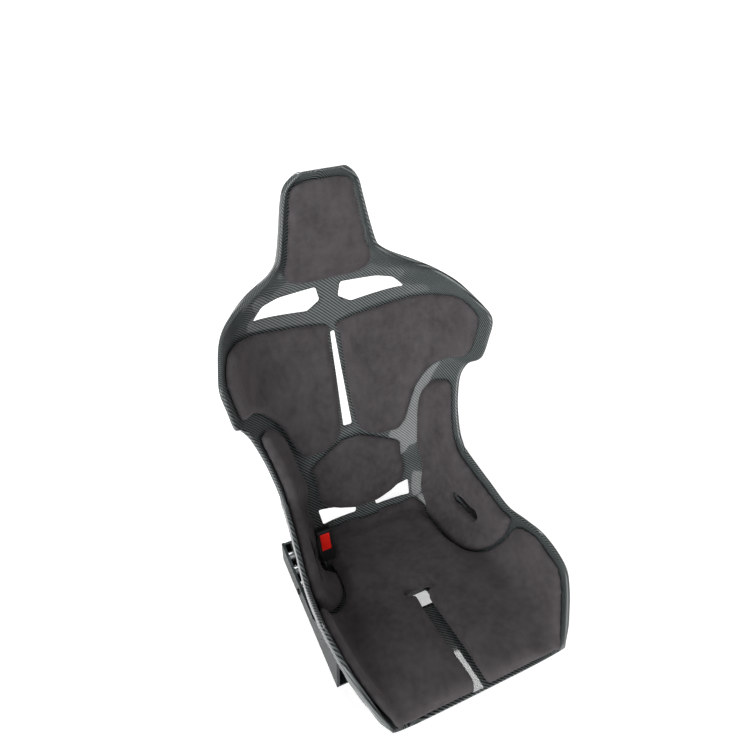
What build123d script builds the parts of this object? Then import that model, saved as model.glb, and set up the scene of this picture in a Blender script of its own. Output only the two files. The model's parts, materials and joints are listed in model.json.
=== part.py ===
from build123d import *
import math
import os

# ---------------------------------------------------------------------------
# Fixed-back racing seat: a one-piece carbon shell with loose pads, side mounts
# and a buckle on a short cable stalk.  Millimetres.  +Z is up, the seat faces
# -Y and +X is the occupant's left.  The origin is the middle of the four floor
# fixings, on the underside of the side mounts.
# ---------------------------------------------------------------------------

# --- Shell: laminate and rolled rim ---
WALL = 4.0             # laminate thickness
RIM_TOP = 9.0          # width of the rolled rim, seen from inside
RIM_DROP = 20.0        # depth of the rim's return flange
RIM_SPREAD = 3.0       # how far the flange leans outwards
RIM_EDGE = 3.2         # laminate thickness along the flange
SAMPLES = 17           # points along a section curve

# --- Shell: sections along the seat, from the front lip to the top of the head ---
# Each row: middle of the floor (y, z), rim (x, y, z), then the shape of the side:
# how far the flat reaches, where the wall's foot stands and how high that foot is.
# The last three are shares of the rim's half width and of the section's depth.
PAN = (0.86, 0.93, 0.12)
HIP = (0.80, 0.90, 0.12)
WAIST = (0.62, 0.78, 0.18)
WING = (0.75, 0.78, 0.08)
HEAD = (0.90, 0.97, 0.15)
STATIONS = [
    ((-348, 136), (178, -350, 148), PAN),
    ((-322, 131), (195, -320, 184), PAN),
    ((-285, 124), (213, -286, 226), PAN),
    ((-245, 116), (224, -252, 250), PAN),
    ((-180, 102), (230, -185, 252), PAN),
    ((-120, 89), (228, -128, 238), PAN),
    ((-60, 76), (223, -72, 224), PAN),
    ((0, 62), (216, -8, 240), PAN),
    ((55, 47), (210, 42, 254), PAN),
    ((100, 38), (208, 66, 260), HIP),
    ((133, 52), (207, 78, 264), HIP),
    ((156, 86), (206, 88, 268), HIP),
    ((182, 132), (207, 98, 275), HIP),
    ((212, 182), (208, 110, 287), WAIST),
    ((240, 228), (212, 130, 313), WAIST),
    ((266, 292), (221, 155, 353), WAIST),
    ((290, 364), (237, 178, 400), WAIST),
    ((302, 400), (254, 178, 431), WAIST),
    ((312, 428), (268, 150, 462), WING),
    ((326, 470), (276, 144, 512), WING),
    ((337, 510), (282, 148, 556), WING),
    ((342, 538), (274, 180, 576), WING),
    ((345, 566), (254, 238, 600), WING),
    ((347, 592), (224, 277, 617), WING),
    ((348, 618), (178, 300, 639), HEAD),
    ((349, 642), (132, 318, 660), HEAD),
    ((350, 664), (109, 332, 675), HEAD),
    ((351, 692), (99, 335, 694), HEAD),
    ((355, 740), (89, 342, 738), HEAD),
    ((361, 795), (79, 349, 790), HEAD),
    ((362, 825), (71, 349, 822), HEAD),
    ((354, 842), (56, 347, 840), HEAD),
    ((349, 850), (42, 346, 849), HEAD),
]

# --- Openings of the shell, as outlines seen from the front (x, z), right half ---
HARNESS_SLOT = [(28, 606), (112, 602), (150, 593), (173, 574), (54, 556), (21, 573)]
SPINE_SLOT = [(-5, 496), (5, 496), (11, 275), (-11, 275)]
LUMBAR_SLOT = [(117, 126), (113, 92), (27, 89), (24, 103)]
BACK_CUT = (110, 420)           # y range that the cuts above run through
CROTCH_SLOT = (60, 50)          # width and length
CROTCH_AT = (0, -113, 87)
CROTCH_TILT = -12               # degrees, along the floor
LAP_SLOT = (92, 18)             # length and height, in both side walls
LAP_AT = (20, 152)              # y, z
LAP_TILT = -5
CABLE_HOLE = (32, 20)           # length and width, right side wall only
CABLE_HOLE_AT = (-170, 47, 78)
CABLE_LEAN = 66                 # degrees between the cable and upright, at the wall

# --- Pads: rows of (place along the seat, first t, last t) and thickness ---
PAD_GAP = 2.4                   # hook tape between the pad and the shell
TAPE = (0.9, 1.2)               # tape: clearance to the shell, thickness
HEAD_PAD = [(24.1, -0.10, 0.10), (24.35, -0.22, 0.22), (24.9, -0.37, 0.37), (26, -0.62, 0.62),
            (27, -0.66, 0.66), (28.5, -0.70, 0.70), (29.5, -0.70, 0.70), (30.1, -0.66, 0.66),
            (30.7, -0.44, 0.44)]
SHOULDER_PAD = [(14.1, 0.20, 0.40), (14.5, 0.07, 0.50), (15.4, 0.035, 0.60), (16, 0.025, 0.70),
                (17, 0.02, 0.83), (17.7, 0.02, 0.92), (18.3, 0.018, 0.95), (19.5, 0.018, 0.955),
                (20.2, 0.02, 0.955), (20.7, 0.18, 0.955), (21.1, 0.42, 0.95), (21.42, 0.74, 0.91)]
LUMBAR_PAD = [(11.32, -0.06, 0.06), (11.6, -0.18, 0.18), (11.85, -0.26, 0.26), (12.5, -0.34, 0.34),
              (13.1, -0.39, 0.39), (13.55, -0.40, 0.40), (13.9, -0.27, 0.27), (14.38, -0.06, 0.06)]
RIB_PAD = [(5.42, 0.82, 0.965), (5.68, 0.60, 0.98), (5.98, 0.43, 0.98), (6.4, 0.36, 0.98),
           (7.1, 0.345, 0.98), (8, 0.37, 0.98), (9.7, 0.43, 0.98), (11.4, 0.43, 0.98),
           (13, 0.58, 0.98), (15, 0.64, 0.98), (15.55, 0.72, 0.965), (15.8, 0.80, 0.94)]
CUSHION = [(0.02, 0.93), (0.5, 0.95), (1, 0.96), (2, 0.97), (3, 0.975), (4.5, 0.975), (5.1, 0.945),
           (5.3, 0.78), (5.55, 0.55), (5.85, 0.39), (6.4, 0.33), (7.1, 0.315), (8, 0.34),
           (9, 0.38), (9.7, 0.40), (10.4, 0.37), (10.85, 0.32)]
HEAD_THICK = 14.0
BACK_THICK = 17.0
RIB_THICK = 20.0
CUSHION_THICK = [(0, 27), (3, 28), (5, 34), (7, 41), (9, 45), (10, 36), (10.85, 8)]
CUSHION_SIDE = 15.0             # thickness up the thigh bolsters
CHANNEL = 36.0                  # width of the strap channel in the cushion
CROTCH_PASS = (76, 36)          # cross slot of the cushion, width and length

# --- Side mounts ---
MOUNT_FACE = 215.0              # outer face of the upright plate, from the middle
PLATE = 6.0
FLANGE = 5.0
FLANGE_REACH = 165.0            # inner edge of the flange, from the middle
MOUNT_PROFILE = [(-171, 0), (168, 0), (164, 68), (124, 62), (-42, 56), (-70, 84), (-178, 118)]
END_WALL = (160, 166, 60)       # y range and height of the rear end wall
FLOOR_HOLES = (374.0, 270.0)    # spacing across and along
FLOOR_SLOT = (22.0, 9.0)        # overall length (across) and width
SHELL_BOLTS = [(-92, 56), (98, 38), (136, 44)]
BOLT_R = 4.0
BOLT_LONG = 33.0
HEAD_R = 8.0
INSERT_R = 6.0
INSERT_LONG = 17.0
SPACER_R = 11.0
BLOCK_FACE = 196.0              # outer face of the bonded blocks
BLOCKS = {"front": ((-116, -68), (34, 100)), "rear": ((80, 154), (20, 74))}
BLOCK_INNER = 132.0

# --- Buckle on its cable stalk, at the occupant's right ---
ANCHOR = (50.0, 30.0)           # y, z of the anchor bolt
ANCHOR_R = 5.0
EYE_X = (-207.4, -203.4)
EYE_R = 13.0
CABLE_R = 6.0
CABLE_X = -200.0
BUCKLE_AT = (-143, 49, 113)     # middle of the housing's lower end
BUCKLE_LEAN = -17.0
HOUSING = (34.0, 22.0, 76.0)    # width, thickness, length
SKIN = 2.0
WINDOW = (22.0, 41.0)           # opening for the button
WINDOW_Z = 49.0                 # its middle, along the housing
BUTTON_TRAVEL = 3.5
FIT = 0.05                      # radial clearance of pins and inserts


def mix(a, b, share):
    return tuple(p + (q - p) * share for p, q in zip(a, b))


def station(place):
    """Floor point, rim point and side shape at a place; a fraction lies between two stations."""
    k = min(int(place), len(STATIONS) - 2)
    return [mix(a, b, place - k) for a, b in zip(STATIONS[k], STATIONS[k + 1])]


def skin_point(place, t, offset):
    """Point of the inner face: t is -1 at one rim, 0 in the middle, 1 at the other.

    Half a section is a cubic Bezier curve.  offset lifts the point off the face,
    towards the occupant."""
    (fy, fz), (half, ry, rz), (reach, foot, height) = station(place)
    depth = math.hypot(ry - fy, rz - fz)
    u = abs(t)
    v = 1 - u
    x = half * (3 * v * v * u * reach + 3 * v * u * u * foot + u ** 3)
    d = depth * (3 * v * u * u * height + u ** 3)
    dx = half * (3 * v * v * reach + 6 * v * u * (foot - reach) + 3 * u * u * (1 - foot))
    dd = depth * (6 * v * u * height + 3 * u * u * (1 - height))
    length = math.hypot(dx, dd)
    x -= offset * dd / length
    d += offset * dx / length
    side = 1 if t >= 0 else -1
    return (side * x, fy + (ry - fy) * d / depth, fz + (rz - fz) * d / depth)


def curve(place, first, last, lift, count=SAMPLES):
    """Spline across the seat; lift is an offset, or a function of t that gives one."""
    points = []
    for i in range(count):
        t = first + (last - first) * i / (count - 1)
        offset = lift(t) if callable(lift) else lift
        points.append(skin_point(place, t, offset))
    return points


def ring(*runs):
    """Closed wire from runs of points, joined by straight edges."""
    edges = []
    for i, run in enumerate(runs):
        if len(run) > 1:
            edges.append(Edge.make_spline(run) if len(run) > 2 else Edge.make_line(*run))
        edges.append(Edge.make_line(run[-1], runs[(i + 1) % len(runs)][0]))
    return Wire(edges)


def shell_section(number):
    """Closed section of the laminate with the rolled rim and its return flange."""
    (fy, fz), (half, ry, rz), shape = station(number)
    depth = math.hypot(ry - fy, rz - fz)

    def at(x, d):
        return (x, fy + (ry - fy) * d / depth, fz + (rz - fz) * d / depth)

    rim = []
    for side in (1, -1):
        rim.append([at(side * (half + RIM_TOP), depth + 1),
                    at(side * (half + RIM_TOP + RIM_SPREAD), depth - RIM_DROP)])
        rim.append([at(side * (half + RIM_TOP + RIM_SPREAD - RIM_EDGE), depth - RIM_DROP),
                    at(side * (half + RIM_TOP - RIM_EDGE), depth - RIM_EDGE)])
    inner = curve(number, -1, 1, 0)
    outer = curve(number, 1, -1, -WALL)
    return ring(inner, rim[0], rim[1], outer, rim[3][::-1], rim[2][::-1])


def prism(outline, span):
    """Outline in the x-z plane, extruded along y over a span."""
    wire = Wire.make_polygon([(x, span[0], z) for x, z in outline])
    return extrude(Face(wire), span[1] - span[0], (0, 1, 0))


def slot_bar(length, width, depth):
    """Bar with round ends, long along X, standing on the middle plane along Z."""
    return extrude(SlotOverall(length, width), depth / 2, both=True)


def lap_place(side):
    """Where a lap slot's bar stands: its length along y, its depth along x."""
    y, z = LAP_AT
    return Pos(side * 199, y, z) * Rot(X=LAP_TILT) * Rot(Y=90) * Rot(Z=90)


def crotch_place():
    return Pos(*CROTCH_AT) * Rot(X=CROTCH_TILT)


def cable_hole():
    length, width = CABLE_HOLE
    return Pos(*CABLE_HOLE_AT) * Rot(Y=CABLE_LEAN) * Rot(Z=90) * slot_bar(length, width, 60)


def make_shell():
    shell = loft_body([shell_section(k) for k in range(len(STATIONS))])
    for side in (1, -1):
        shell -= prism([(side * x, z) for x, z in HARNESS_SLOT], BACK_CUT)
        shell -= prism([(side * x, z) for x, z in LUMBAR_SLOT], BACK_CUT)
        shell -= lap_place(side) * slot_bar(*LAP_SLOT, 80)
    shell -= prism(SPINE_SLOT, BACK_CUT)
    shell -= crotch_place() * Box(*CROTCH_SLOT, 60)
    shell -= cable_hole()
    return shell


def row_at(rows, place):
    """First and last t at a place, between the rows of an outline."""
    for low, high in zip(rows, rows[1:]):
        if low[0] <= place <= high[0]:
            return mix(low[1:], high[1:], (place - low[0]) / (high[0] - low[0]))
    raise ValueError("place outside the outline")


def loft_body(wires):
    """Ruled loft whose faces point outwards, whichever way the wires run."""
    body = Solid.make_loft(wires, True)
    return body if body.volume > 0 else Solid.make_loft(wires[::-1], True)


def patch(rows, lift, thick):
    """Pad that lies on the shell: lift off the face, then thick(place, t) to its front."""
    places = {row[0] for row in rows}
    places |= set(range(math.ceil(rows[0][0]), math.floor(rows[-1][0]) + 1))
    wires = []
    for place in sorted(places):
        first, last = row_at(rows, place)
        back = curve(place, first, last, lift)
        front = curve(place, last, first, lambda t: lift + thick(place, t))
        wires.append(ring(back, front))
    return loft_body(wires)


def even(thickness):
    return lambda place, t: thickness


def cushion_thickness(place, t):
    """Thick over the floor, thinner up the thigh bolsters."""
    middle = row_at(CUSHION_THICK, place)[0]
    rise = min(max((abs(t) - 0.25) / 0.3, 0), 1)
    return middle + (min(CUSHION_SIDE, middle) - middle) * rise * rise * (3 - 2 * rise)


def make_cushion():
    rows = [(place, -edge, edge) for place, edge in CUSHION]
    cushion = patch(rows, PAD_GAP, cushion_thickness)
    width, length = CROTCH_PASS
    x, y, z = CROTCH_AT
    front = -400
    cushion -= Pos(0, (y + front) / 2, z) * Box(CHANNEL, y - front, 400)
    cushion -= crotch_place() * Box(width, length, 200)
    return cushion - buckle_pocket()


def buckle_pocket():
    """Room in the pads for the cable and the housing, over the whole swing."""
    cable_room = Box(40, 46, 70)
    housing_room = Box(42, 66, 100)
    return Pos(-152, 45, 63) * cable_room + Pos(-143, 58, 148) * housing_room


def make_rib_pad(side):
    rows = RIB_PAD
    if side < 0:
        rows = [(place, -last, -first) for place, first, last in RIB_PAD]
    pad = patch(rows, PAD_GAP, even(RIB_THICK))
    length, height = LAP_SLOT
    pad -= lap_place(side) * slot_bar(length + 3, height + 3, 140)
    return pad - buckle_pocket() if side < 0 else pad


def make_shoulder_pad(side):
    rows = SHOULDER_PAD
    if side < 0:
        rows = [(place, -last, -first) for place, first, last in SHOULDER_PAD]
    return patch(rows, PAD_GAP, even(BACK_THICK))


TAPE_ROWS = [
    [(25.2, -0.2, 0.2), (27, -0.35, 0.35)],
    [(28, -0.35, 0.35), (29.3, -0.35, 0.35)],
    [(15.6, 0.2, 0.45), (17, 0.2, 0.45)],
    [(18.4, 0.2, 0.5), (20, 0.2, 0.5)],
    [(12.2, -0.2, 0.2), (13.4, -0.2, 0.2)],
    [(3, 0.2, 0.36), (4.4, 0.2, 0.36)],
    [(6.6, 0.05, 0.24), (9, 0.05, 0.24)],
    [(6.6, 0.55, 0.65), (9, 0.55, 0.65)],
    [(13.2, 0.65, 0.85), (14.8, 0.7, 0.85)],
]


def make_tapes():
    """Hook tapes bonded to the shell: those off the middle repeat on the other side."""
    tapes = []
    for rows in TAPE_ROWS:
        tapes.append(patch(rows, TAPE[0], even(TAPE[1])))
        if rows[0][1] > 0:
            tapes.append(patch([(p, -b, -a) for p, a, b in rows], TAPE[0], even(TAPE[1])))
    return Compound(tapes)


def make_lap_trim(side):
    """Moulded ring that lines a lap slot."""
    length, height = LAP_SLOT
    outer = slot_bar(length - 0.6, height - 0.6, 16)
    return lap_place(side) * (outer - slot_bar(length - 6, height - 6, 20))


def make_crotch_trim():
    width, length = CROTCH_SLOT
    outer = Pos(0, 0, -2) * Box(width - 0.6, length - 0.6, 8)
    return crotch_place() * (outer - Box(width - 7, length - 7, 20))


def along_x(x_from, x_to, y, z, radius):
    """Round bar along x."""
    length = abs(x_to - x_from)
    return Pos((x_from + x_to) / 2, y, z) * Rot(Y=90) * Cylinder(radius, length)


def cone_x(x_wide, x_narrow, y, z, wide, narrow):
    """Cone along x, for a countersink and its screw head."""
    turn = 90 if x_narrow > x_wide else -90
    length = abs(x_narrow - x_wide)
    return Pos((x_wide + x_narrow) / 2, y, z) * Rot(Y=turn) * Cone(wide, narrow, length)


def make_side_mount(side):
    plate_mid = side * (MOUNT_FACE - PLATE / 2)
    wire = Wire.make_polygon([(side * (MOUNT_FACE - PLATE), y, z) for y, z in MOUNT_PROFILE])
    mount = extrude(Face(wire), PLATE, (side, 0, 0))
    reach = MOUNT_FACE - PLATE - FLANGE_REACH
    flange_mid = side * (FLANGE_REACH + reach / 2)
    mount += Pos(flange_mid, -2.5, FLANGE / 2) * Box(reach, 337, FLANGE)
    y0, y1, height = END_WALL
    mount += Pos(flange_mid, (y0 + y1) / 2, height / 2) * Box(reach, y1 - y0, height)
    across, along = FLOOR_HOLES
    for y in (-along / 2, along / 2):
        mount -= Pos(side * across / 2, y, FLANGE / 2) * slot_bar(*FLOOR_SLOT, 20)
    for y, z in SHELL_BOLTS:
        mount -= along_x(side * 200, side * 220, y, z, BOLT_R + 0.4)
        mount -= cone_x(side * MOUNT_FACE, side * (MOUNT_FACE - 4.4), y, z, HEAD_R + 0.4, BOLT_R)
    mount -= along_x(side * 200, side * 220, *ANCHOR, ANCHOR_R + FIT)
    upright = mount.edges().filter_by(Axis.X).filter_by(lambda e: abs(e.center().X - plate_mid) < 1)
    tops = [e for e in upright if e.center().Z > 20]
    return mount.fillet(5, tops)


def envelope(lift):
    """Closed body of the shell's outside up to the rim, for fitting what is bonded to it."""
    wires = []
    for k in range(4, 13):
        wires.append(ring(curve(k, -1, 1, lift)))
    return loft_body(wires)


def make_blocks():
    """Blocks bonded under the corners of the shell, bored for the threaded inserts."""
    outside = envelope(-WALL - 0.05)
    blocks = {}
    for side, hand in ((1, "left"), (-1, "right")):
        for name, ((y0, y1), (z0, z1)) in BLOCKS.items():
            width = BLOCK_FACE - BLOCK_INNER
            at = Pos(side * (BLOCK_INNER + width / 2), (y0 + y1) / 2, (z0 + z1) / 2)
            block = at * Box(width, y1 - y0, z1 - z0) - outside
            for y, z in SHELL_BOLTS:
                block -= along_x(side * (BLOCK_FACE - INSERT_LONG - 3), side * 220, y, z, INSERT_R + FIT)
            block = max(block.solids(), key=lambda s: s.volume)
            blocks[f"shell_block_{name}_{hand}"] = block
    return blocks


def make_bolts(side):
    """Countersunk screws of one side mount."""
    bolts = []
    for y, z in SHELL_BOLTS:
        shaft = along_x(side * MOUNT_FACE, side * (MOUNT_FACE - BOLT_LONG), y, z, BOLT_R)
        head = cone_x(side * MOUNT_FACE, side * (MOUNT_FACE - 4.4), y, z, HEAD_R, BOLT_R - 0.3)
        socket = Pos(side * (MOUNT_FACE - 1), y, z) * Rot(Y=90) * extrude(
            RegularPolygon(2.9, 6), 2.2, both=True)
        bolts.append(shaft + head - socket)
    return Compound(bolts)


def make_tubes(x_from, x_to, outer, inner):
    """One short tube for each shell bolt, on both sides."""
    tubes = []
    for side in (1, -1):
        for y, z in SHELL_BOLTS:
            bar = along_x(side * x_from, side * x_to, y, z, outer)
            tubes.append(bar - along_x(side * (x_from - 5), side * (x_to + 5), y, z, inner))
    return Compound(tubes)


def make_cable():
    """Sleeved cable from the anchor eye, through the shell, up to the housing."""
    y, z = ANCHOR
    top = buckle_place() * Pos(0, 0, 6)
    path = FilletPolyline(
        (CABLE_X, y, z + 14), (CABLE_X, y, 62), (-143, 42, 90), tuple(top.position), radius=14)
    start = Plane((CABLE_X, y, z + 14), z_dir=(0, 0, 1))
    return sweep(start * Circle(CABLE_R), path)


def make_eye():
    """Steel eye that swings on the anchor bolt, with the barrel that grips the cable."""
    y, z = ANCHOR
    eye = along_x(*EYE_X, y, z, EYE_R)
    eye += Pos(sum(EYE_X) / 2, y, z + 15) * Box(EYE_X[1] - EYE_X[0], 14, 14)
    eye += Pos(CABLE_X, y, z + 17.5) * Cylinder(CABLE_R + 1.6, 11)
    eye -= Pos(CABLE_X, y, z + 21) * Cylinder(CABLE_R, 14)
    return eye - along_x(-230, -190, y, z, ANCHOR_R + FIT)


def make_anchor():
    """Anchor bolt with its low head outside the plate, washer and nut."""
    y, z = ANCHOR
    face = -MOUNT_FACE
    shaft = along_x(face, -196, y, z, ANCHOR_R)
    head = cone_x(face, face - 4, y, z, 9, 6)
    socket = Pos(face - 3, y, z) * Rot(Y=90) * extrude(RegularPolygon(3.4, 6), 2, both=True)
    washer = along_x(-209, -207.6, y, z, 11) - along_x(-230, -190, y, z, ANCHOR_R + FIT)
    hexagon = Pos(-199.5, y, z) * Rot(Y=90) * extrude(RegularPolygon(9.5, 6), 3.3, both=True)
    nut = hexagon - along_x(-230, -190, y, z, ANCHOR_R + FIT)
    return {"anchor_bolt": shaft + head - socket, "anchor_washer": washer, "anchor_nut": nut}


def buckle_place():
    return Pos(*BUCKLE_AT) * Rot(X=BUCKLE_LEAN)


def make_cover(front):
    """Half of the buckle housing; the front half has the button's window."""
    width, thick, length = HOUSING
    whole = Pos(0, 0, length / 2) * Box(width, thick, length)
    whole = fillet(whole.edges().filter_by(Axis.Z), 5)
    whole = fillet(whole.faces().sort_by(Axis.Z)[-1].edges(), 2)
    core = Pos(0, 0, length / 2) * Box(width - 2 * SKIN, thick - 2 * SKIN, length - 2 * SKIN)
    whole -= core
    whole -= Pos(0, 0, length) * Box(26, 5, 8)
    whole -= Cylinder(CABLE_R + 0.1, 10)
    if front:
        whole -= Pos(0, -thick / 2, WINDOW_Z) * Box(WINDOW[0], 2 * SKIN + 4, WINDOW[1])
        return whole & Pos(0, -thick / 2 - 0.05, length / 2) * Box(50, thick, 100)
    return whole & Pos(0, thick / 2 + 0.05, length / 2) * Box(50, thick, 100)


def make_buckle():
    """Pieces of the buckle in its own frame: length along z, front face towards -y."""
    width, thick, length = HOUSING
    front = -thick / 2
    button = Pos(0, front + 2.4, WINDOW_Z) * Box(WINDOW[0] - 0.8, 6.4, WINDOW[1] - 0.8)
    button = fillet(button.faces().sort_by(Axis.Y)[0].edges(), 1.2)
    bore_y = front + 5.6 - 2.25
    springs = []
    for z in (WINDOW_Z - 12, WINDOW_Z + 12):
        bore = Pos(0, bore_y, z) * Rot(X=90) * Cylinder(3.4, 4.5)
        button -= bore
        tube = Pos(0, -3.05, z) * Rot(X=90) * Cylinder(3.0, 3.7)
        springs.append(tube - Pos(0, -3.05, z) * Rot(X=90) * Cylinder(2.2, 6))
    frame = Pos(0, 0, 38) * Box(26, 2.4, 56)
    for x in (-1, 1):
        frame += Pos(x * 12, 2.8, 38) * Box(2, 8, 56)
    frame -= Pos(0, 0, 46) * Box(17, 6, 15)
    latch = Pos(0, 4, 46) * Box(16, 3.2, 14)
    latch += Pos(0, 0.6, 50) * Box(13, 4.8, 4)
    rivets = []
    for x in (-8, 8):
        frame -= Pos(x, 0, 17) * Rot(X=90) * Cylinder(2 + FIT, 10)
        rivets.append(Pos(x, 0, 17) * Rot(X=90) * Cylinder(2, 17.8))
    collar = Pos(0, 0, -7) * (Cylinder(CABLE_R + 2, 12) - Cylinder(CABLE_R + FIT, 14))
    return {
        "buckle_cover_front": make_cover(True),
        "buckle_cover_rear": make_cover(False),
        "buckle_frame": frame,
        "buckle_button": button,
        "button_springs": Compound(springs),
        "buckle_latch": latch,
        "buckle_rivets": Compound(rivets),
        "cable_collar": collar,
    }


def main():
    nodes = {
        "seat_shell": make_shell(),
        "head_pad": patch(HEAD_PAD, PAD_GAP, even(HEAD_THICK)),
        "shoulder_pad_left": make_shoulder_pad(1),
        "shoulder_pad_right": make_shoulder_pad(-1),
        "lumbar_pad": patch(LUMBAR_PAD, PAD_GAP, even(BACK_THICK)),
        "rib_pad_left": make_rib_pad(1),
        "rib_pad_right": make_rib_pad(-1),
        "seat_cushion": make_cushion(),
        "hook_tapes": make_tapes(),
        "lap_slot_trim_left": make_lap_trim(1),
        "lap_slot_trim_right": make_lap_trim(-1),
        "crotch_slot_trim": make_crotch_trim(),
        "side_mount_left": make_side_mount(1),
        "side_mount_right": make_side_mount(-1),
        "mount_screws_left": make_bolts(1),
        "mount_screws_right": make_bolts(-1),
        "mount_spacers": make_tubes(BLOCK_FACE, MOUNT_FACE - PLATE, SPACER_R, BOLT_R + 0.2),
        "threaded_inserts": make_tubes(BLOCK_FACE - INSERT_LONG, BLOCK_FACE, INSERT_R, BOLT_R + FIT),
        "buckle_cable": make_cable(),
        "cable_eye": make_eye(),
    }
    nodes |= make_blocks()
    nodes |= make_anchor()
    for name, piece in make_buckle().items():
        nodes[name] = buckle_place() * piece
    os.makedirs("parts", exist_ok=True)
    for name, shape in nodes.items():
        solids = shape.solids()
        export_step(solids[0] if len(solids) == 1 else Compound(list(solids)), f"parts/{name}.step")
        print(f"{name}: {len(solids)} solid(s), {shape.volume / 1000:.1f} cm3")


main()
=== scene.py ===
# %% [markdown]
# # Fixed-back racing seat
# A one-piece carbon shell carries loose suede pads, two side mounts and a buckle on a short
# cable stalk.  The CAD frame gives the hard parts, their places and the joints.  This lesson
# adds what is seen: the laminate with its rolled rim, the pads and every finish.

# %% Frame
import json
import math

import bmesh
import bpy
from mathutils import Matrix, Vector
from mathutils.kdtree import KDTree


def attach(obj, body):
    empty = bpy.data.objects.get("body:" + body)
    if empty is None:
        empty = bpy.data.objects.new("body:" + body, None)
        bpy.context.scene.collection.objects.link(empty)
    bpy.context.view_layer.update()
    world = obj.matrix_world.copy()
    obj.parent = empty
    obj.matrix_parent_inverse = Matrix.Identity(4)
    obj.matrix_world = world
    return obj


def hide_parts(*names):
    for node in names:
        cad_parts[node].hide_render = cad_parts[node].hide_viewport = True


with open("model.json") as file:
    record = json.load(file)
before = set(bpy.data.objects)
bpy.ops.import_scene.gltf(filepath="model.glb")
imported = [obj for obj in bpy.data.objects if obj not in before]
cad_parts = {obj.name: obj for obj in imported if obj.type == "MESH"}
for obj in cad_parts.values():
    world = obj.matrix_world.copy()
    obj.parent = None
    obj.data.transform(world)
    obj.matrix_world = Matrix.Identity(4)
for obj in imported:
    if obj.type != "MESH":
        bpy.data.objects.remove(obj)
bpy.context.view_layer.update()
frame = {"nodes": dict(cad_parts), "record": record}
MM = 0.001

# %% [markdown]
# The camera stands in front of the seat, to its right, and looks down into the bucket.  It
# comes first, so that every later step can be judged in the same view.  A rotation of 90
# degrees less the elevation tips a Blender camera down by that elevation.

# %% Camera
AZIMUTH = -25.0
ELEVATION = 38.07
camera_data = bpy.data.cameras.new("camera")
camera_data.sensor_width = 36.0
camera_data.lens = 30.72
camera_data.clip_end = 100.0
camera = bpy.data.objects.new("camera", camera_data)
camera.location = (-0.4111, -0.7718, 1.292)
camera.rotation_euler = (math.radians(90 - ELEVATION), 0, math.radians(AZIMUTH))
bpy.context.scene.collection.objects.link(camera)
bpy.context.scene.camera = camera
print("camera", AZIMUTH, ELEVATION)

# %% [markdown]
# A studio for dark glossy parts is a few large soft lights.  Each one is an area light that
# aims at the seat, so its reflection is a broad soft band on the lacquer.  The floor is a
# plain pale sheet, and the world fills the shadows.


# %% Studio
def aim(obj, target):
    """Turns an object so that its -Z axis points at the target."""
    obj.rotation_euler = (Vector(target) - obj.location).to_track_quat("-Z", "Y").to_euler()


def soft_light(name, place, target, size, power):
    data = bpy.data.lights.new(name, "AREA")
    data.shape = "RECTANGLE"
    data.size, data.size_y = size
    data.energy = power
    light = bpy.data.objects.new(name, data)
    light.location = place
    aim(light, target)
    bpy.context.scene.collection.objects.link(light)


SEAT_MIDDLE = (0, 0.05, 0.35)
soft_light("right_window", (2.2, -0.6, 1.5), SEAT_MIDDLE, (1.0, 1.6), 10)
soft_light("rear_edge", (0.2, 1.9, 2.3), SEAT_MIDDLE, (1.8, 0.4), 34)

sun_data = bpy.data.lights.new("key", "SUN")
sun_data.energy = 4.4
sun_data.angle = math.radians(70)
key = bpy.data.objects.new("key", sun_data)
key.location = (-2.3, -2.4, 1.55)
aim(key, SEAT_MIDDLE)
bpy.context.scene.collection.objects.link(key)

world = bpy.data.worlds.new("studio")
bpy.context.scene.world = world
world.use_nodes = True
background = world.node_tree.nodes["Background"]
background.inputs["Color"].default_value = (1, 1, 1, 1)
background.inputs["Strength"].default_value = 0.2
bpy.context.scene.view_settings.view_transform = "Standard"

floor_mesh = bmesh.new()
bmesh.ops.create_grid(floor_mesh, x_segments=1, y_segments=1, size=12)
floor_data = bpy.data.meshes.new("floor")
floor_mesh.to_mesh(floor_data)
floor = bpy.data.objects.new("floor", floor_data)
floor.location.z = -0.0005
bpy.context.scene.collection.objects.link(floor)

# %% [markdown]
# Colours are written as sRGB hex values, the way a paint chart gives them.  Blender mixes
# light in linear values, so one function converts them.  A second small function adds a node
# with its settings and its links, which keeps each material readable as a list of steps.


# %% Material helpers
def linear(hex_code):
    """Linear RGBA of an sRGB hex colour."""
    channels = [int(hex_code[i:i + 2], 16) / 255 for i in (1, 3, 5)]
    return (*[c / 12.92 if c <= 0.04045 else ((c + 0.055) / 1.055) ** 2.4 for c in channels], 1)


def add(tree, kind, inputs=None, **settings):
    """Node with its settings; an input is a constant or the output socket that feeds it."""
    node = tree.nodes.new(kind)
    for key, value in settings.items():
        setattr(node, key, value)
    for key, value in (inputs or {}).items():
        if isinstance(value, bpy.types.NodeSocket):
            tree.links.new(value, node.inputs[key])
        else:
            node.inputs[key].default_value = value
    return node


def material(name, **shader_values):
    """New material with a Principled shader set to constant values."""
    made = bpy.data.materials.new(name)
    made.use_nodes = True
    tree = made.node_tree
    shader = tree.nodes["Principled BSDF"]
    for key, value in shader_values.items():
        shader.inputs[key.replace("_", " ")].default_value = value
    return made, tree, shader


print("sRGB 50 % grey in linear light:", round(linear("#808080")[0], 3))
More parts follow.
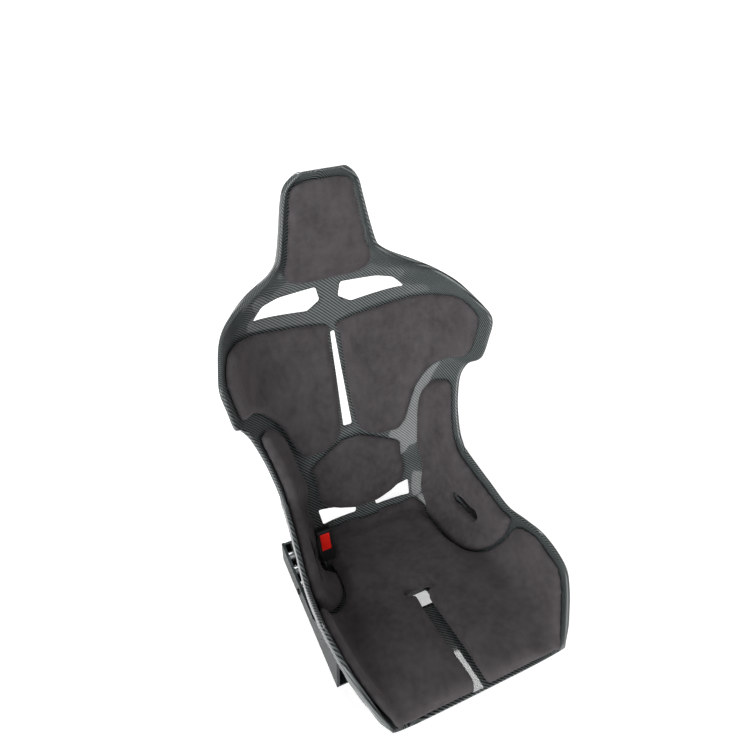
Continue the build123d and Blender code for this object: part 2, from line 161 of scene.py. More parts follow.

# %% [markdown]
# Carbon laminate: 2x2 twill cloth of 3K tows in epoxy, laid in a mould and lacquered.  Each
# tow is 2 mm wide and passes over two and under two of those that cross it, and each row
# steps on by one, which draws the diagonal ribs.  Tows that run along and across the cloth
# catch the light differently; that reflection is painted into the colour, a lighter grey for
# one direction and a near-black grey for the other.  The pattern reads a UV map in metres that
# follows the cloth.

# %% Carbon laminate
TOW_MM = 2.0
TOWS_PER_METRE = 1 / (TOW_MM * MM)
carbon, tree, shader = material(
    "carbon_twill_laminate", Roughness=0.5, Coat_Weight=0.65, Coat_Roughness=0.06, IOR=1.5)
shader.inputs["Specular IOR Level"].default_value = 0.3
cloth = add(tree, "ShaderNodeUVMap", uv_map="cloth").outputs["UV"]
tows = add(tree, "ShaderNodeMapping", {
    "Vector": cloth, "Scale": (TOWS_PER_METRE, TOWS_PER_METRE, 1)}).outputs["Vector"]
parts = add(tree, "ShaderNodeSeparateXYZ", {"Vector": tows})
across, along = parts.outputs["X"], parts.outputs["Y"]
column = add(tree, "ShaderNodeMath", {0: across}, operation="FLOOR").outputs[0]
row = add(tree, "ShaderNodeMath", {0: along}, operation="FLOOR").outputs[0]
steps = add(tree, "ShaderNodeMath", {0: column, 1: row}, operation="ADD").outputs[0]
repeat = add(tree, "ShaderNodeMath", {0: steps, 1: 4.0}, operation="FLOORED_MODULO").outputs[0]
over = add(tree, "ShaderNodeMath", {0: repeat, 1: 2.0}, operation="LESS_THAN").outputs[0]

# A tow is thousands of straight fibres, so its colour is streaked along its own length.
# Painted reflection: one direction of tows gets light greys and the other near-black ones, for the
# way each catches the light.
tow_colours = []
for stretch, dark, light in [((9, 0.6, 1), "#434949", "#6e7575"),
                             ((0.6, 9, 1), "#070808", "#131616")]:
    drawn = add(tree, "ShaderNodeMapping", {"Vector": tows, "Scale": stretch}).outputs[0]
    streaks = add(tree, "ShaderNodeTexNoise", {"Vector": drawn, "Scale": 1.0, "Detail": 1.0})
    share = add(tree, "ShaderNodeMapRange", {
        "Value": streaks.outputs["Fac"], "From Min": 0.3, "From Max": 0.7}).outputs["Result"]
    tow_colours.append(add(tree, "ShaderNodeMix", {
        0: share, 6: linear(dark), 7: linear(light)}, data_type="RGBA").outputs[2])
warp, weft = tow_colours
weave = add(tree, "ShaderNodeMix", {0: over, 6: weft, 7: warp}, data_type="RGBA").outputs[2]
tree.links.new(weave, shader.inputs["Base Color"])

# Each tow is crowned: highest along its middle line, under a lacquer that fills it in part.
crown_a = add(tree, "ShaderNodeMath", {0: across, 1: 0.5}, operation="PINGPONG").outputs[0]
crown_b = add(tree, "ShaderNodeMath", {0: along, 1: 0.5}, operation="PINGPONG").outputs[0]
relief = add(tree, "ShaderNodeMix", {0: over, 2: crown_b, 3: crown_a}).outputs[0]
raised = add(tree, "ShaderNodeBump", {"Height": relief, "Distance": 0.25 * MM, "Strength": 0.5})
tree.links.new(raised.outputs["Normal"], shader.inputs["Normal"])
print("carbon twill, tow", TOW_MM, "mm, nodes:", len(tree.nodes))

# %% [markdown]
# Microfibre suede over foam: a dense short nap with no gloss.  Its colour is a warm charcoal
# that drifts where the nap has been brushed one way or the other, over patches a few
# centimetres wide, and a sheen lightens it where it turns away.  The real fibres are far under
# a tenth of a millimetre; their grain is drawn at about 1 mm, coarser than real, so that it
# shows.

# %% Suede
suede, tree, shader = material(
    "microfibre_suede", Roughness=0.95, Sheen_Weight=0.2, Sheen_Roughness=0.5)
shader.inputs["Specular IOR Level"].default_value = 0.2
shader.inputs["Sheen Tint"].default_value = linear("#cbbfc0")
place = add(tree, "ShaderNodeTexCoord").outputs["Object"]

# Each layer: mm across, detail, roughness, low and high of the noise, most it covers, colour.
NAP_LAYERS = [(55, 3.0, 0.55, 0.35, 0.65, 1.0, "#494648"),
              (14, 2.0, 0.5, 0.3, 0.7, 0.35, "#585456"),
              (1.1, 3.0, 0.7, 0.35, 0.75, 0.45, "#2b292a")]
nap = linear("#3b383a")
for size_mm, detail, rough, low, high, most, tint in NAP_LAYERS:
    noise = add(tree, "ShaderNodeTexNoise", {
        "Vector": place, "Scale": 1 / (size_mm * MM), "Detail": detail,
        "Roughness": rough}).outputs["Fac"]
    share = add(tree, "ShaderNodeMapRange", {
        "Value": noise, "From Min": low, "From Max": high, "To Max": most}).outputs["Result"]
    nap = add(tree, "ShaderNodeMix", {
        0: share, 6: nap, 7: linear(tint)}, data_type="RGBA").outputs[2]
tree.links.new(nap, shader.inputs["Base Color"])
fibres = add(tree, "ShaderNodeBump", {"Height": noise, "Distance": 0.35 * MM, "Strength": 0.6})
tree.links.new(fibres.outputs["Normal"], shader.inputs["Normal"])
print("suede layers:", len(NAP_LAYERS))

# %% [markdown]
# The other finishes: hard-anodised plate for the side mounts, black oxide on the screws, zinc
# on the buckle's steel, moulded nylon for covers and trims, and a satin red button.  Metals
# are fully metallic and keep the default IOR.  Each has the small unevenness that its
# process leaves.  A mould's grit and a plate's drawn lines are a few tenths of a millimetre
# on the real parts, and are drawn up to 1 mm here so that they show.


# %% Hard finishes
NOISE_MIDDLE = {"From Min": 0.3, "From Max": 0.7}
DRIFT_MIDDLE = {"From Min": 0.35, "From Max": 0.65}


def moulded(name, dark, light, grit_mm, rough, depth_mm=0.05):
    """Moulded plastic with a spark-eroded texture and a faint drift in colour."""
    made, tree, shader = material(name, Roughness=rough, IOR=1.5)
    place = add(tree, "ShaderNodeTexCoord").outputs["Object"]
    cloud = add(tree, "ShaderNodeTexNoise", {"Vector": place, "Scale": 1 / (18 * MM)})
    drift = add(tree, "ShaderNodeMapRange", {"Value": cloud.outputs["Fac"], **DRIFT_MIDDLE})
    grit = add(tree, "ShaderNodeTexNoise", {"Vector": place, "Scale": 1 / (grit_mm * MM)})
    colour = add(tree, "ShaderNodeMix", {
        0: drift.outputs["Result"], 6: linear(dark), 7: linear(light)}, data_type="RGBA")
    dullness = add(tree, "ShaderNodeMapRange", {
        "Value": grit.outputs["Fac"], **NOISE_MIDDLE,
        "To Min": rough - 0.08, "To Max": rough + 0.08})
    relief = add(tree, "ShaderNodeBump", {
        "Height": grit.outputs["Fac"], "Distance": depth_mm * MM, "Strength": 0.5})
    tree.links.new(colour.outputs[2], shader.inputs["Base Color"])
    tree.links.new(dullness.outputs["Result"], shader.inputs["Roughness"])
    tree.links.new(relief.outputs["Normal"], shader.inputs["Normal"])
    return made


def plated(name, dark, light, rough, line_mm=0.4):
    """Metal with faint drawn lines along x and a thin uneven plating."""
    made, tree, shader = material(name, Metallic=1.0, Roughness=rough)
    place = add(tree, "ShaderNodeTexCoord").outputs["Object"]
    stretched = add(tree, "ShaderNodeMapping", {"Vector": place, "Scale": (0.08, 1, 1)})
    lines = add(tree, "ShaderNodeTexNoise", {
        "Vector": stretched.outputs[0], "Scale": 1 / (line_mm * MM)})
    cloud = add(tree, "ShaderNodeTexNoise", {
        "Vector": place, "Scale": 1 / (25 * MM), "Detail": 3.0})
    drift = add(tree, "ShaderNodeMapRange", {"Value": cloud.outputs["Fac"], **DRIFT_MIDDLE})
    colour = add(tree, "ShaderNodeMix", {
        0: drift.outputs["Result"], 6: linear(dark), 7: linear(light)}, data_type="RGBA")
    dullness = add(tree, "ShaderNodeMapRange", {
        "Value": lines.outputs["Fac"], **NOISE_MIDDLE,
        "To Min": rough - 0.07, "To Max": rough + 0.1})
    relief = add(tree, "ShaderNodeBump", {
        "Height": lines.outputs["Fac"], "Distance": 0.02 * MM, "Strength": 0.4})
    tree.links.new(colour.outputs[2], shader.inputs["Base Color"])
    tree.links.new(dullness.outputs["Result"], shader.inputs["Roughness"])
    tree.links.new(relief.outputs["Normal"], shader.inputs["Normal"])
    return made


# Aluminium grown a hard oxide in acid: near black, a soft grey sheen along its edges.
anodised = plated("hard_anodised_plate", "#2a2f30", "#363c3d", 0.46)
# Steel screws turned black in hot salts: dark, a little oily.
black_oxide = plated("black_oxide_steel", "#1b1c1d", "#262728", 0.38)
# Pressed steel under electroplated zinc: bright cool grey.
zinc = plated("zinc_plated_steel", "#9a9c9d", "#b9bbbb", 0.3)
# Aluminium as it leaves the lathe: bright, brushed by the tool.
turned = plated("turned_aluminium", "#b4b6b7", "#c8cacb", 0.32)
# Nylon and ABS keep their mould's fine grit, which breaks up every highlight.
nylon = moulded("moulded_nylon", "#141415", "#1c1c1d", 0.6, 0.5)
buckle_abs = moulded("buckle_abs", "#101011", "#191a1a", 0.5, 0.42)
button_red = moulded("button_red_abs", "#e0160f", "#ee2418", 0.5, 0.33, 0.02)
# Laid-up glass in dark resin, sealed cut edges, and hook tape with its coarse weave: all dull.
laminate_block = moulded("glass_laminate_block", "#242627", "#2f3132", 1.2, 0.6)
cut_edge = moulded("sealed_laminate_edge", "#0c0d0d", "#151717", 0.8, 0.35)
hook_weave = moulded("hook_tape_weave", "#0f0f10", "#1b1b1c", 1.6, 0.9, 0.5)

floor_paint, tree, shader = material("floor_paint", Roughness=0.9, Emission_Strength=0.35)
place = add(tree, "ShaderNodeTexCoord").outputs["Object"]
roller = add(tree, "ShaderNodeTexNoise", {"Vector": place, "Scale": 1 / (400 * MM)})
paint = add(tree, "ShaderNodeMix", {
    0: roller.outputs["Fac"], 6: linear("#fdfdfd"), 7: linear("#ffffff")}, data_type="RGBA")
tree.links.new(paint.outputs[2], shader.inputs["Base Color"])
shader.inputs["Emission Color"].default_value = linear("#ffffff")
floor.data.materials.append(floor_paint)

FINISHES = {
    "hook_tape": hook_weave, "black_trim": nylon, "anodised_mount": anodised,
    "black_screw": black_oxide, "spacer_aluminium": turned, "bonded_block": laminate_block,
    "zinc_steel": zinc, "cable_sleeve": nylon, "buckle_black": buckle_abs,
    "button_red": button_red}
for part in frame["record"]["subparts"]:
    if part["material_slot"] in FINISHES:
        node = frame["nodes"][part["node"]]
        node.data.materials.clear()
        node.data.materials.append(FINISHES[part["material_slot"]])
print("finishes:", len(FINISHES))

# %% [markdown]
# The seat's inner face is one smooth surface.  Each station below is the middle of the floor
# (y, z), the rim (x, y, z) and the shape of the side: how far the flat reaches, where the
# wall's foot stands and how high it is.  A cubic Bezier curve makes half a section, and a
# smooth blend joins the stations, so any place on the seat is a pair of numbers: how far
# along the seat, and t from -1 at one rim to 1 at the other.

# %% Surface of the seat
PAN = (0.86, 0.93, 0.12)
HIP = (0.80, 0.90, 0.12)
WAIST = (0.62, 0.78, 0.18)
WING = (0.75, 0.78, 0.08)
HEAD = (0.90, 0.97, 0.15)
MIDWAY = 16  # the station at the waist, where the cloth and the rim's fades start
STATIONS = [
    (-348, 136, 178, -350, 148, *PAN),
    (-322, 131, 195, -320, 184, *PAN),
    (-285, 124, 213, -286, 226, *PAN),
    (-245, 116, 224, -252, 250, *PAN),
    (-180, 102, 230, -185, 252, *PAN),
    (-120, 89, 228, -128, 238, *PAN),
    (-60, 76, 223, -72, 224, *PAN),
    (0, 62, 216, -8, 240, *PAN),
    (55, 47, 210, 42, 254, *PAN),
    (100, 38, 208, 66, 260, *HIP),
    (133, 52, 207, 78, 264, *HIP),
    (156, 86, 206, 88, 268, *HIP),
    (182, 132, 207, 98, 275, *HIP),
    (212, 182, 208, 110, 287, *WAIST),
    (240, 228, 212, 130, 313, *WAIST),
    (266, 292, 221, 155, 353, *WAIST),
    (290, 364, 237, 178, 400, *WAIST),
    (302, 400, 254, 178, 431, *WAIST),
    (312, 428, 268, 150, 462, *WING),
    (326, 470, 276, 144, 512, *WING),
    (337, 510, 282, 148, 556, *WING),
    (342, 538, 274, 180, 576, *WING),
    (345, 566, 254, 238, 600, *WING),
    (347, 592, 224, 277, 617, *WING),
    (348, 618, 178, 300, 639, *HEAD),
    (349, 642, 132, 318, 660, *HEAD),
    (350, 664, 109, 332, 675, *HEAD),
    (351, 692, 99, 335, 694, *HEAD),
    (355, 740, 89, 342, 738, *HEAD),
    (361, 795, 79, 349, 790, *HEAD),
    (362, 825, 71, 349, 822, *HEAD),
    (354, 842, 56, 347, 840, *HEAD),
    (349, 850, 42, 346, 849, *HEAD),
]
LAST = len(STATIONS) - 1


def smooth_row(rows, place):
    """Row of numbers at a place between numbered rows, on a smooth curve through them."""
    k = min(max(int(place), 0), len(rows) - 2)
    f = place - k
    made = []
    before = rows[max(k - 1, 0)]
    after = rows[min(k + 2, len(rows) - 1)]
    for a, b, c, d in zip(before, rows[k], rows[k + 1], after):
        slope_b, slope_c = (c - a) / 2, (d - b) / 2
        bend = 3 * (c - b) - 2 * slope_b - slope_c
        turn = slope_b + slope_c - 2 * (c - b)
        made.append(b + slope_b * f + bend * f * f + turn * f ** 3)
    return made


def on_seat(place, t):
    """Point of the inner face, in metres."""
    fy, fz, half, ry, rz, reach, foot, height = smooth_row(STATIONS, place)
    u = abs(t)
    v = 1 - u
    x = half * (3 * v * v * u * reach + 3 * v * u * u * foot + u ** 3)
    d = 3 * v * u * u * height + u ** 3
    return Vector((math.copysign(x, t), fy + (ry - fy) * d, fz + (rz - fz) * d)) * MM


def off_seat(place, t):
    """Unit normal of the inner face, towards the occupant."""
    step = 0.02
    low_t, high_t = max(t - step, -1), min(t + step, 1)
    place = min(max(place, step), LAST - step)
    low, high = place - step, place + step
    over_t = on_seat(place, high_t) - on_seat(place, low_t)
    over_place = on_seat(high, t) - on_seat(low, t)
    return over_t.cross(over_place).normalized()


print("seat surface, stations:", len(STATIONS), "waist half width:", STATIONS[MIDWAY][2], "mm")

# %% [markdown]
# Every new piece ends the same way: its mesh goes into an object at the origin, it takes its
# material and smooth shading, and it rides on its CAD body.  Where it stands for a CAD node,
# it replaces that node.


# %% Piece helpers
def piece(name, bm, finish, body="seat", stands_for=()):
    """Object from a bmesh, with its finish, its body and what it replaces."""
    data = bpy.data.meshes.new(name)
    bm.to_mesh(data)
    bm.free()
    made = bpy.data.objects.new(name, data)
    bpy.context.scene.collection.objects.link(made)
    data.materials.append(finish)
    data.shade_smooth()
    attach(made, body)
    if stands_for:
        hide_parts(*stands_for)
    return made


def apply_modifiers(obj):
    """Bakes an object's modifiers into its mesh."""
    bpy.context.view_layer.update()
    seen = obj.evaluated_get(bpy.context.evaluated_depsgraph_get())
    final = bpy.data.meshes.new_from_object(seen)
    obj.modifiers.clear()
    old = obj.data
    obj.data = final
    bpy.data.meshes.remove(old)


def cut(obj, cutter_bm, finish):
    """Takes a closed cutter out of an object and gives the cut faces a finish."""
    data = bpy.data.meshes.new("cutter")
    data.materials.append(finish)
    cutter_bm.to_mesh(data)
    cutter_bm.free()
    cutter = bpy.data.objects.new("cutter", data)
    bpy.context.scene.collection.objects.link(cutter)
    tool = obj.modifiers.new("cut", "BOOLEAN")
    tool.operation = "DIFFERENCE"
    tool.solver = "EXACT"
    tool.material_mode = "TRANSFER"
    tool.object = cutter
    apply_modifiers(obj)
    bpy.data.objects.remove(cutter)
    bpy.data.meshes.remove(data)


# %% [markdown]
# The slots of the shell are cut with prisms.  A prism starts as a few corners, which are
# rounded with a vertex bevel while the outline is still flat, and then it is extruded.  Straps
# run through these slots, so their corners are round on the real seat too.

# %% Cutters for the shell
HARNESS_SLOT = [(28, 606), (112, 602), (150, 593), (174, 569), (51, 554), (21, 573)]
SPINE_SLOT = [(-5, 496), (5, 496), (11, 275), (-11, 275)]
LUMBAR_SLOT = [(117, 126), (113, 92), (27, 89), (24, 103)]


def prism(outline, low, high, corner):
    """Closed prism along y from an outline (x, z) in mm, with rounded corners."""
    bm = bmesh.new()
    corners = [bm.verts.new((x * MM, low * MM, z * MM)) for x, z in outline]
    bm.faces.new(corners)
    bmesh.ops.bevel(bm, geom=corners, offset=corner * MM, segments=4, profile=0.5,
                    affect="VERTICES", material=-1, clamp_overlap=True)
    raised = bmesh.ops.extrude_face_region(bm, geom=list(bm.faces))
    moved = [g for g in raised["geom"] if isinstance(g, bmesh.types.BMVert)]
    bmesh.ops.translate(bm, verts=moved, vec=(0, (high - low) * MM, 0))
    bmesh.ops.recalc_face_normals(bm, faces=bm.faces)
    return bm


def bar(length, width, depth, place):
    """Closed bar with round ends: length along x, width along y, depth along z, in mm."""
    bm = bmesh.new()
    bmesh.ops.create_cube(bm, size=1, matrix=Matrix.Diagonal(
        (length * MM, width * MM, depth * MM, 1)))
    upright = [e for e in bm.edges if abs(e.verts[0].co.z - e.verts[1].co.z) > 1e-6]
    bmesh.ops.bevel(bm, geom=upright, offset=width * MM * 0.499, segments=8, profile=0.5,
                    affect="EDGES", material=-1)
    bmesh.ops.transform(bm, matrix=place, verts=bm.verts)
    return bm


def turn(axis, degrees):
    return Matrix.Rotation(math.radians(degrees), 4, axis)


def lap_place(side):
    """Place of a lap slot's bar, in the side wall."""
    middle = Matrix.Translation((side * 0.199, 0.020, 0.152))
    return middle @ turn("X", -5) @ turn("Y", 90) @ turn("Z", 90)


CROTCH_PLACE = Matrix.Translation((0, -0.113, 0.087)) @ turn("X", -12)
CABLE_PLACE = Matrix.Translation((-0.170, 0.047, 0.078)) @ turn("Y", 66) @ turn("Z", 90)
print("lap slots at x = +/-", round(lap_place(1).translation.x / MM), "mm")

# %% [markdown]
# The shell starts as a flat grid, one cell for each patch of cloth, and every vertex is moved
# to its place on the seat.  The rim is then grown from the grid's border: the border is
# extruded in small steps, and each step turns it a little further outwards, first round the
# rolled edge and then down the return flange.  This is how the real rim runs, in one piece
# with the bowl.  Distances along the cloth are kept as UV, so the weave keeps its scale.

# %% Shell
ROWS_PER_STATION = 6
COLUMNS = 84
# Each roll: radius in mm, turn in degrees, length of the flange behind it in mm.
SIDE_ROLL = (4.4, 170.0, 17.0)
TOP_ROLL = (2.6, 165.0, 8.0)
LIP_ROLL = (1.6, 100.0, 2.0)
LIP_FADE = 1.0   # stations over which the lip's roll grows into the side's
TOP_FADE = 8.0   # the same at the head
LAMINATE = 2.6   # thickness in mm
BLEND = 14.0     # mm of rim over which a corner's direction is evened out


def roll_at(place):
    """Radius in mm, turn in degrees and flange in mm of the rim at a place."""
    if place < MIDWAY:
        share, end = min(place / LIP_FADE, 1), LIP_ROLL
    else:
        share, end = min((LAST - place) / TOP_FADE, 1), TOP_ROLL
    share = share * share * (3 - 2 * share)
    return [a + (b - a) * share for a, b in zip(end, SIDE_ROLL)]


bm = bmesh.new()
bmesh.ops.create_grid(bm, x_segments=COLUMNS, y_segments=ROWS_PER_STATION * LAST, size=0.5)
cloth_x = bm.verts.layers.float.new("cloth_x")
cloth_y = bm.verts.layers.float.new("cloth_y")
lattice = {}
for vert in bm.verts:
    i = round((vert.co.x + 0.5) * COLUMNS)
    j = round((vert.co.y + 0.5) * ROWS_PER_STATION * LAST)
    lattice[i, j] = vert
    vert.co = on_seat(j / ROWS_PER_STATION, 2 * i / COLUMNS - 1)
TOP = ROWS_PER_STATION * LAST
MIDDLE = COLUMNS // 2
START = MIDWAY * ROWS_PER_STATION

# Distances over the cloth, from the middle line outwards and from the waist up and down.
for j in range(TOP + 1):
    for way in (1, -1):
        for i in range(MIDDLE + way, COLUMNS + 1 if way > 0 else -1, way):
            step = (lattice[i, j].co - lattice[i - way, j].co).length
            lattice[i, j][cloth_x] = lattice[i - way, j][cloth_x] + way * step
for i in range(COLUMNS + 1):
    for way in (1, -1):
        for j in range(START + way, TOP + 1 if way > 0 else -1, way):
            step = (lattice[i, j].co - lattice[i, j - way].co).length
            lattice[i, j][cloth_y] = lattice[i, j - way][cloth_y] + way * step

# The border in order, and at each of its vertices the way outwards and the way up.
border = [(i, 0) for i in range(COLUMNS)] + [(COLUMNS, j) for j in range(TOP)]
border += [(i, TOP) for i in range(COLUMNS, 0, -1)] + [(0, j) for j in range(TOP, 0, -1)]
count = len(border)
frames = []
for k, (i, j) in enumerate(border):
    here = lattice[i, j].co.copy()
    ahead = lattice[border[(k + 2) % count]].co - lattice[border[k - 2]].co
    normal = off_seat(j / ROWS_PER_STATION, 2 * i / COLUMNS - 1)
    out = ahead.cross(normal).normalized()
    roll = roll_at(j / ROWS_PER_STATION)
    way = (0, -1) if j == 0 else (0, 1) if j == TOP else (1 if i else -1, 0)
    frames.append([here, out, normal, roll, way])
settled = []
for k in range(count):
    out, normal = Vector(), Vector()
    for way in (-1, 1):
        n = k
        gone = 0.0
        while gone < BLEND * MM:
            here, there = (lattice[border[m % count]].co for m in (n, n + way))
            length = (there - here).length
            weight = (1 - gone / (BLEND * MM)) * max(length, 1e-5)
            out += frames[n % count][1] * weight
            normal += frames[n % count][2] * weight
            gone += length
            n += way
    out.normalize()
    settled.append((out, (normal - out * normal.dot(out)).normalized()))
for f, (out, normal) in zip(frames, settled):
    f[1], f[2] = out, normal

ROLL_STEPS = 8
FLANGE_STEPS = 3
edge_ring = {lattice[b]: f for b, f in zip(border, frames)}
for step in range(1, ROLL_STEPS + FLANGE_STEPS + 1):
    edges = [e for e in bm.edges
             if e.is_boundary and e.verts[0] in edge_ring and e.verts[1] in edge_ring]
    grown = bmesh.ops.extrude_edge_only(bm, edges=edges)["geom"]
    following = {}
    for vert in grown:
        if not isinstance(vert, bmesh.types.BMVert):
            continue
        neighbours = [e.other_vert(vert) for e in vert.link_edges]
        source = next(n for n in neighbours if n in edge_ring)
        here, out, normal, (radius, turned, flange), way = edge_ring[source]
        angle = math.radians(turned) * min(step / ROLL_STEPS, 1)
        run = flange * max(step - ROLL_STEPS, 0) / FLANGE_STEPS
        ahead = radius * math.sin(angle) + run * math.cos(angle)
        down = radius * (1 - math.cos(angle)) + run * math.sin(angle)
        vert.co = here + (out * ahead - normal * down) * MM
        passed = (vert.co - source.co).length
        vert[cloth_x] = source[cloth_x] + way[0] * passed
        vert[cloth_y] = source[cloth_y] + way[1] * passed
        following[vert] = edge_ring[source]
    edge_ring = following

cloth = bm.loops.layers.uv.new("cloth")
for face in bm.faces:
    for loop in face.loops:
        loop[cloth].uv = (loop.vert[cloth_x], loop.vert[cloth_y])
bm.normal_update()
shell = piece("seat_shell_laminate", bm, carbon, stands_for=["seat_shell"])
wall = shell.modifiers.new("wall", "SOLIDIFY")
wall.thickness = LAMINATE * MM
wall.offset = -1
wall.use_even_offset = False
apply_modifiers(shell)
print("shell faces:", len(shell.data.polygons))

# %% [markdown]
# On the real shell the openings are trimmed after moulding, and the cut edge is sealed with
# dark resin.  A Boolean takes each prism out of the shell, and the cutter hands its own
# material to the cut.  A narrow bevel then eases every sharp edge, so that it catches light.

# %% Openings of the shell
for side in (1, -1):
    cut(shell, prism([(side * x, z) for x, z in HARNESS_SLOT], 300, 400, 5), cut_edge)
    cut(shell, prism([(side * x, z) for x, z in LUMBAR_SLOT], 120, 230, 4), cut_edge)
    cut(shell, bar(92, 18, 60, lap_place(side)), cut_edge)
cut(shell, prism(SPINE_SLOT, 230, 400, 4), cut_edge)
cut(shell, bar(60, 50, 50, CROTCH_PLACE), cut_edge)
cut(shell, bar(32, 20, 60, CABLE_PLACE), cut_edge)
eased = shell.modifiers.new("eased", "BEVEL")
eased.width = 0.7 * MM
eased.segments = 2
eased.limit_method = "ANGLE"
eased.angle_limit = math.radians(55)
apply_modifiers(shell)
shell.data.shade_smooth()
print("shell with its openings, faces:", len(shell.data.polygons))

# %% [markdown]
# A pad is a block of foam in a suede cover, held by hook tape.  Its outline is a list of rows
# along the seat, each with the first and last t, because a pad is bent over the shell and its
# border is simplest in the shell's own directions.  The cushion's thickness is a function: a
# deep middle to sit on and thin sides up the thigh bolsters.

# %% Pad outlines
GAP = 2.4  # mm that the hook tape holds a pad off the shell
HEAD_PAD = [(24.1, -0.10, 0.10), (24.35, -0.22, 0.22), (24.9, -0.37, 0.37), (26, -0.62, 0.62),
            (27, -0.66, 0.66), (28.5, -0.70, 0.70), (29.5, -0.70, 0.70), (30.1, -0.66, 0.66),
            (30.7, -0.44, 0.44)]
SHOULDER_PAD = [(14.1, 0.20, 0.40), (14.5, 0.07, 0.50), (15.4, 0.035, 0.60), (16, 0.025, 0.70),
                (17, 0.02, 0.83), (17.7, 0.02, 0.92), (18.3, 0.018, 0.95), (19.5, 0.018, 0.955),
                (20.2, 0.02, 0.955), (20.7, 0.18, 0.955), (21.1, 0.42, 0.95), (21.42, 0.74, 0.91)]
LUMBAR_PAD = [(11.32, -0.06, 0.06), (11.6, -0.18, 0.18), (11.85, -0.26, 0.26), (12.5, -0.34, 0.34),
              (13.1, -0.39, 0.39), (13.55, -0.40, 0.40), (13.9, -0.27, 0.27), (14.38, -0.06, 0.06)]
RIB_PAD = [(5.42, 0.82, 0.965), (5.66, 0.585, 0.98), (5.95, 0.42, 0.985), (6.4, 0.35, 0.985),
           (7.1, 0.335, 0.985), (8, 0.36, 0.985), (9.7, 0.42, 0.985), (11.4, 0.425, 0.985),
           (13, 0.575, 0.985), (15, 0.64, 0.985), (15.55, 0.72, 0.97), (15.8, 0.80, 0.94)]
CUSHION_EDGE = [(-0.2, 0.95), (0.5, 0.965), (1, 0.975), (2, 0.98), (3, 0.98), (4.5, 0.98),
                (5.1, 0.95), (5.3, 0.80), (5.55, 0.565), (5.85, 0.405), (6.4, 0.345), (7.1, 0.33),
                (8, 0.355), (9, 0.395), (9.7, 0.41), (10.4, 0.37), (10.85, 0.32)]
CUSHION = [(place, -edge, edge) for place, edge in CUSHION_EDGE]
CUSHION_THICK = [(0, 27), (3, 28), (5, 34), (7, 41), (9, 45), (10, 36), (10.85, 8)]


def mirrored(rows):
    return [(place, -last, -first) for place, first, last in rows]


def cushion_thick(place, t):
    """Thick over the floor, thinner up the thigh bolsters, in mm."""
    middle = CUSHION_THICK[-1][1]
    for (low, a), (high, b) in zip(CUSHION_THICK, CUSHION_THICK[1:]):
        if low <= place <= high:
            middle = a + (b - a) * (place - low) / (high - low)
    rise = min(max((abs(t) - 0.25) / 0.3, 0), 1)
    return middle + (min(15, middle) - middle) * rise * rise * (3 - 2 * rise)


print("cushion thickness at its middle, mm:", round(cushion_thick(7, 0), 1))

# %% [markdown]
# Foam is cut to shape and its cover is sewn a little tight, so a pad has rounded borders and
# a face that swells.  Two grids make its back and its front, the front dropping towards the
# border as a bevel, and a bridge closes the sides.  Openings are cut before a voxel remesh
# evens the mesh out.  Then the cover is let out by a pressure for a few frames of cloth, and
# no vertex may move by more than a cap, so the pad stays where the seat's makers put it.


# %% Pad maker
BORDER_SHARE = 0.45   # height of a pad's side, as a share of its full thickness
COVER_FRAMES = 20
COVER_CAP_MM = 2.0


def pad_form(rows, thick, bevel, across=44, along=60):
    """Closed pad: thick(place, t) in mm at its middle, with a bevel in mm at its border."""
    bm = bmesh.new()
    sheets = []
    for lift in (True, False):
        grid = bmesh.ops.create_grid(bm, x_segments=across, y_segments=along, size=0.5)["verts"]
        places = {}
        for vert in grid:
            row = smooth_row(rows, (vert.co.y + 0.5) * (len(rows) - 1))
            t = row[1] + (row[2] - row[1]) * (vert.co.x + 0.5)
            places[vert] = (row[0], t)
            edge = abs(vert.co.x) > 0.4999 or abs(vert.co.y) > 0.4999
            vert.co = on_seat(row[0], t) + off_seat(row[0], t) * GAP * MM
            vert.tag = edge
        sheets.append((grid, places))
    rim = [v.co.copy() for v in sheets[0][0] if v.tag]
    near = KDTree(len(rim))
    for k, co in enumerate(rim):
        near.insert(co, k)
    near.balance()
    for vert in sheets[0][0]:
        place, t = sheets[0][1][vert]
        inside = min(near.find(vert.co)[2] / (bevel * MM), 1)
        share = BORDER_SHARE + (1 - BORDER_SHARE) * math.sin(inside * math.pi / 2)
        vert.co += off_seat(place, t) * thick(place, t) * share * MM
    front = set(sheets[0][0])
    bmesh.ops.reverse_faces(bm, faces=[f for f in bm.faces if f.verts[0] not in front])
    border = [e for e in bm.edges if e.is_boundary]
    bmesh.ops.bridge_loops(bm, edges=border)
    bmesh.ops.recalc_face_normals(bm, faces=bm.faces)
    return bm


def soften(obj, voxel_mm, smooth, pressure=4.0):
    """Even mesh, rounded edges, then the cover let out by a pressure and capped."""
    remesh = obj.modifiers.new("even", "REMESH")
    remesh.mode = "VOXEL"
    remesh.voxel_size = voxel_mm * MM
    round_off = obj.modifiers.new("round", "SMOOTH")
    round_off.factor = 0.5
    round_off.iterations = smooth
    apply_modifiers(obj)
    base = [v.co.copy() for v in obj.data.vertices]
    cloth = obj.modifiers.new("cover", "CLOTH")
    cloth.settings.use_pressure = True
    cloth.settings.uniform_pressure_force = pressure
    cloth.settings.effector_weights.gravity = 0
    cloth.settings.quality = 4
    cloth.point_cache.frame_start = 1
    cloth.point_cache.frame_end = COVER_FRAMES
    for number in range(1, COVER_FRAMES + 1):
        bpy.context.scene.frame_set(number)
    apply_modifiers(obj)
    bpy.context.scene.frame_set(1)
    for vert, start in zip(obj.data.vertices, base):
        moved = vert.co - start
        if moved.length > COVER_CAP_MM * MM:
            vert.co = start + moved.normalized() * COVER_CAP_MM * MM
    finer = obj.modifiers.new("finer", "SUBSURF")
    finer.levels = 1
    finer.render_levels = 1
    apply_modifiers(obj)


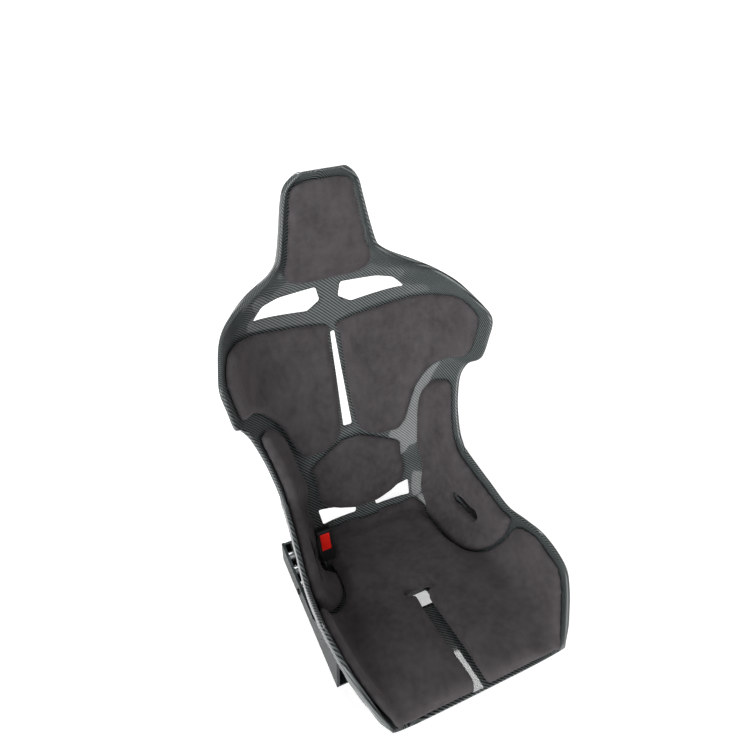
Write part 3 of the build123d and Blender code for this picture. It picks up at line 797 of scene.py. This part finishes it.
def pad(name, node, rows, thick, bevel, cutters=(), voxel=5.0, smooth=3):
    """Pad over its CAD solid, with any openings cut before it is softened."""
    made = piece(name, pad_form(rows, thick, bevel), suede, stands_for=[node])
    for cutter in cutters:
        cut(made, cutter, suede)
    soften(made, voxel, smooth)
    made.data.shade_smooth()
    print(name, "faces:", len(made.data.polygons))


def even(value):
    """The same thickness all over."""
    return lambda place, t: value


print("pad border stands at", BORDER_SHARE, "of the thickness")

# %% [markdown]
# Seven pads dress the shell.  The left and right ones are the same outline with t turned
# round.  Both rib pads let the lap strap through, the cushion has a channel and an opening for
# the crotch strap, and the pads on the buckle's side are cut back to leave it room to swing.


# %% Pads
def block(size, place):
    """Closed box, its size in mm."""
    bm = bmesh.new()
    bmesh.ops.create_cube(bm, size=1, matrix=place @ Matrix.Diagonal(
        (size[0] * MM, size[1] * MM, size[2] * MM, 1)))
    return bm


BUCKLE_ROOM = {"cable": ((40, 46, 70), (-0.152, 0.045, 0.063)),
               "housing": ((42, 66, 100), (-0.143, 0.058, 0.148))}


def pocket(part):
    """Room for the buckle: its cable, then its housing."""
    size, at = BUCKLE_ROOM[part]
    return block(size, Matrix.Translation(at))


LAP_SLOT = (98, 30, 90)
CHANNEL = ((27, 287, 300), Matrix.Translation((0, -0.2565, 0.12)))
CROTCH_SLOT = (66, 27, 150)
BACK_BEVEL, SEAT_BEVEL = 14, 12

pad("head_pad_cover", "head_pad", HEAD_PAD, even(14), BACK_BEVEL)
pad("shoulder_pad_left_cover", "shoulder_pad_left", SHOULDER_PAD, even(17), BACK_BEVEL)
pad("shoulder_pad_right_cover", "shoulder_pad_right", mirrored(SHOULDER_PAD), even(17),
    BACK_BEVEL)
pad("lumbar_pad_cover", "lumbar_pad", LUMBAR_PAD, even(17), BACK_BEVEL)
pad("rib_pad_left_cover", "rib_pad_left", RIB_PAD, even(20), SEAT_BEVEL,
    [bar(*LAP_SLOT, lap_place(1))])
pad("rib_pad_right_cover", "rib_pad_right", mirrored(RIB_PAD), even(20), SEAT_BEVEL,
    [bar(*LAP_SLOT, lap_place(-1)), pocket("cable"), pocket("housing")])
pad("seat_cushion_cover", "seat_cushion", CUSHION, cushion_thick, SEAT_BEVEL,
    [block(*CHANNEL), block(CROTCH_SLOT, CROTCH_PLACE), pocket("cable"), pocket("housing")],
    voxel=5.5, smooth=4)
